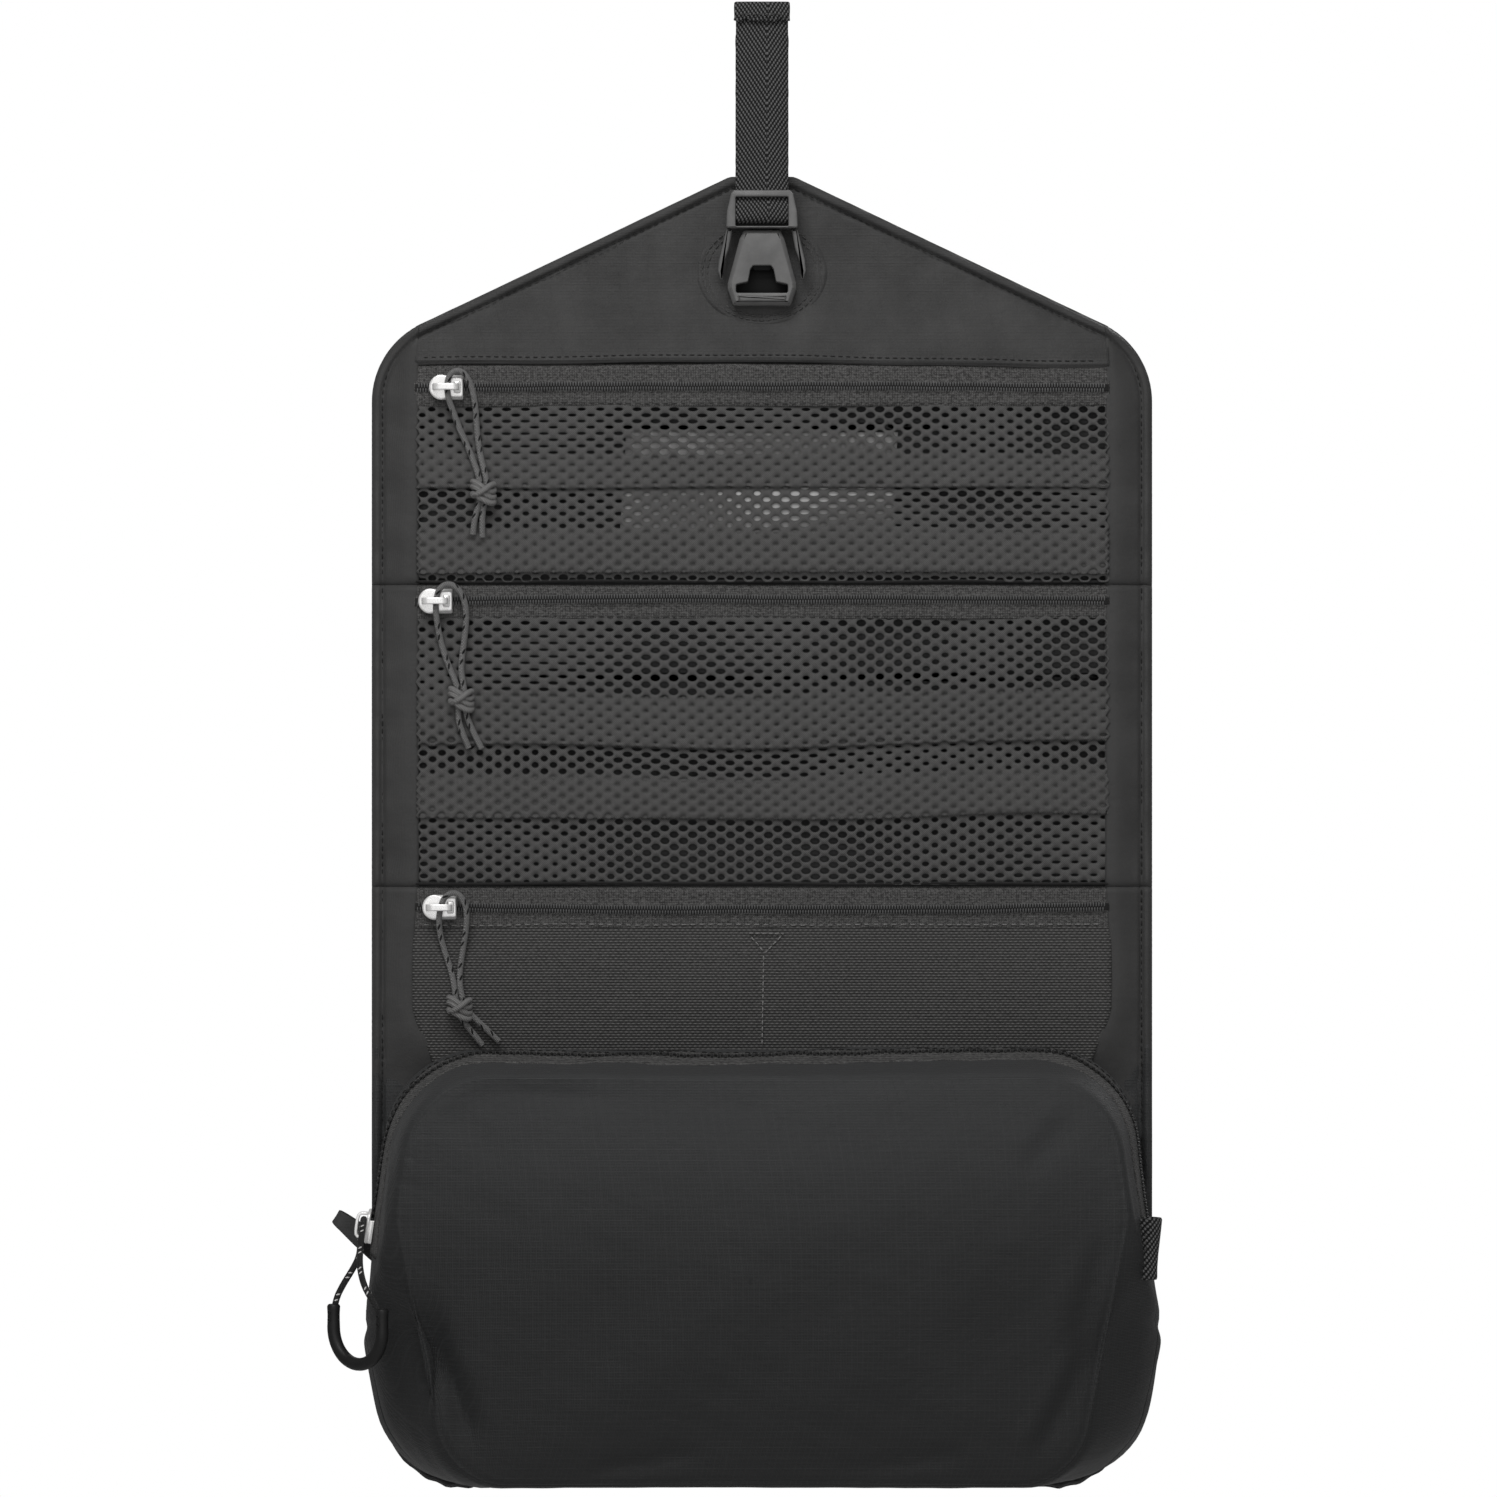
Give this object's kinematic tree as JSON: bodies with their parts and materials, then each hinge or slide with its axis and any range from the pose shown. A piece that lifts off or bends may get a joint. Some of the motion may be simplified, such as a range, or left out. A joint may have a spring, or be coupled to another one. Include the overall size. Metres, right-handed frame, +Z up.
{
  "type": "hanging toiletry bag",
  "caption": "Roll-up hanging toiletry bag: webbing hang loop with buckle, flap, two mesh pockets, knit pocket and a zipped pouch with cord pulls.",
  "frame": {"origin": "centre of the hang loop's top bend, where the hook or rail goes", "axes": "+Z up along the hanging bag, -Y out of its front, +X to the right seen from the front"},
  "size_m": [0.3113, 0.0639, 0.5538],
  "materials": {
    "webbing": "woven herringbone",
    "flap_ripstop": "ripstop, slight sheen",
    "back_cloth": "plain weave",
    "buckle_plastic": "satin grey",
    "border_cloth": "smooth",
    "zip_tape": "woven tape",
    "zip_coil": "satin",
    "mesh": "open mesh",
    "knit": "fine knit",
    "label_cloth": "smooth",
    "slider_metal": "polished",
    "grey_cord": "braided",
    "black_cord": "braided",
    "grip_rubber": "satin",
    "pouch_ripstop": "ripstop, slight sheen"
  },
  "bodies": {
    "flap": {"strap_loop": "webbing", "flap_back": "back_cloth", "flap_front": "flap_ripstop", "buckle_patch": "flap_ripstop", "buckle_tab": "webbing", "buckle_female": "buckle_plastic"},
    "buckle_male": {"buckle_male": "buckle_plastic", "strap_tail": "webbing"},
    "arm_left": {"squeeze_arm_left": "buckle_plastic"},
    "arm_right": {"squeeze_arm_right": "buckle_plastic"},
    "top_section": {"top_back_panel": "back_cloth", "top_border_left": "border_cloth", "top_border_right": "border_cloth", "top_zip_tape": "zip_tape", "top_zip_coil": "zip_coil", "top_pocket_front": "mesh", "label_patch": "label_cloth"},
    "mid_section": {"mid_back_panel": "back_cloth", "mid_border_left": "border_cloth", "mid_border_right": "border_cloth", "mid_zip_tape": "zip_tape", "mid_zip_coil": "zip_coil", "mid_pocket_front": "mesh"},
    "low_section": {"low_back_panel": "back_cloth", "low_border_left": "border_cloth", "low_border_right": "border_cloth", "low_zip_tape": "zip_tape", "low_zip_coil": "zip_coil", "low_pocket_front": "knit"},
    "pouch": {"pouch_back_panel": "back_cloth", "pouch_back_gusset": "pouch_ripstop", "main_zip_tape_back": "zip_tape", "main_zip_coil_back": "zip_coil", "side_tab_left": "webbing", "side_tab_right": "webbing", "front_gusset_lower": "pouch_ripstop", "front_panel_lower": "pouch_ripstop", "main_zip_tape_end": "zip_tape"},
    "pouch_front": {"front_panel_upper": "pouch_ripstop", "front_gusset_upper": "pouch_ripstop", "main_zip_tape_front": "zip_tape", "main_zip_coil_front": "zip_coil"},
    "main_slider": {"main_slider": "slider_metal"},
    "main_pull": {"main_pull_cord": "black_cord", "main_pull_grip": "grip_rubber"},
    "top_slider": {"top_zip_slider": "slider_metal"},
    "top_pull": {"top_pull_cord": "grey_cord", "top_pull_knot": "grey_cord"},
    "mid_slider": {"mid_zip_slider": "slider_metal"},
    "mid_pull": {"mid_pull_cord": "grey_cord", "mid_pull_knot": "grey_cord"},
    "low_slider": {"low_zip_slider": "slider_metal"},
    "low_pull": {"low_pull_cord": "grey_cord", "low_pull_knot": "grey_cord"}
  },
  "joints": [
    {"name": "flap_fold", "type": "hinge", "parent": "flap", "child": "top_section", "pos_m": [0, -0.0036, -0.118], "axis": [-1, 0, 0], "range_deg": [0, 45]},
    {"name": "upper_fold", "type": "hinge", "parent": "top_section", "child": "mid_section", "pos_m": [0, -0.0036, -0.2], "axis": [-1, 0, 0], "range_deg": [0, 45]},
    {"name": "lower_fold", "type": "hinge", "parent": "mid_section", "child": "low_section", "pos_m": [0, -0.0036, -0.312], "axis": [-1, 0, 0], "range_deg": [0, 85]},
    {"name": "pouch_fold", "type": "hinge", "parent": "low_section", "child": "pouch", "pos_m": [0, -0.0036, -0.372], "axis": [-1, 0, 0], "range_deg": [0, 55]},
    {"name": "pouch_opening", "type": "hinge", "parent": "pouch", "child": "pouch_front", "pos_m": [0, -0.0565, -0.446], "axis": [-1, 0, 0], "range_deg": [-45, 0]},
    {"name": "buckle_release", "type": "slide", "parent": "flap", "child": "buckle_male", "axis": [0, 0, -1], "range_m": [-0.02, 0], "deforming": ["strap_tail"]},
    {"name": "squeeze_left", "type": "hinge", "parent": "buckle_male", "child": "arm_left", "pos_m": [-0.0122, -0.0048, -0.0688], "axis": [0, 1, 0], "range_deg": [-5, 0], "stiffness_Nm_per_rad": 0.05},
    {"name": "squeeze_right", "type": "hinge", "parent": "buckle_male", "child": "arm_right", "pos_m": [0.0122, -0.0048, -0.0688], "axis": [0, -1, 0], "range_deg": [-5, 0], "stiffness_Nm_per_rad": 0.05},
    {"name": "main_zip_slide", "type": "slide", "parent": "pouch", "child": "main_slider", "axis": [0.1392, 0, 0.9903], "range_m": [0, 0.018]},
    {"name": "main_pull_swing", "type": "hinge", "parent": "main_slider", "child": "main_pull", "pos_m": [-0.1458, -0.0289, -0.4335], "axis": [0, -1, 0], "range_deg": [-70, 0]},
    {"name": "top_zip_slide", "type": "slide", "parent": "top_section", "child": "top_slider", "axis": [-1, 0, 0], "range_m": [-0.232, 0]},
    {"name": "top_pull_lift", "type": "hinge", "parent": "top_slider", "child": "top_pull", "pos_m": [-0.117, -0.00835, -0.1272], "axis": [1, 0, 0], "range_deg": [-80, 0], "deforming": ["top_pull_cord"]},
    {"name": "mid_zip_slide", "type": "slide", "parent": "mid_section", "child": "mid_slider", "axis": [-1, 0, 0], "range_m": [-0.236, 0]},
    {"name": "mid_pull_lift", "type": "hinge", "parent": "mid_slider", "child": "mid_pull", "pos_m": [-0.121, -0.00835, -0.2064], "axis": [1, 0, 0], "range_deg": [-80, 0], "deforming": ["mid_pull_cord"]},
    {"name": "low_zip_slide", "type": "slide", "parent": "low_section", "child": "low_slider", "axis": [-1, 0, 0], "range_m": [-0.234, 0]},
    {"name": "low_pull_lift", "type": "hinge", "parent": "low_slider", "child": "low_pull", "pos_m": [-0.1195, -0.00835, -0.3198], "axis": [1, 0, 0], "range_deg": [-80, 0], "deforming": ["low_pull_cord"]}
  ]
}
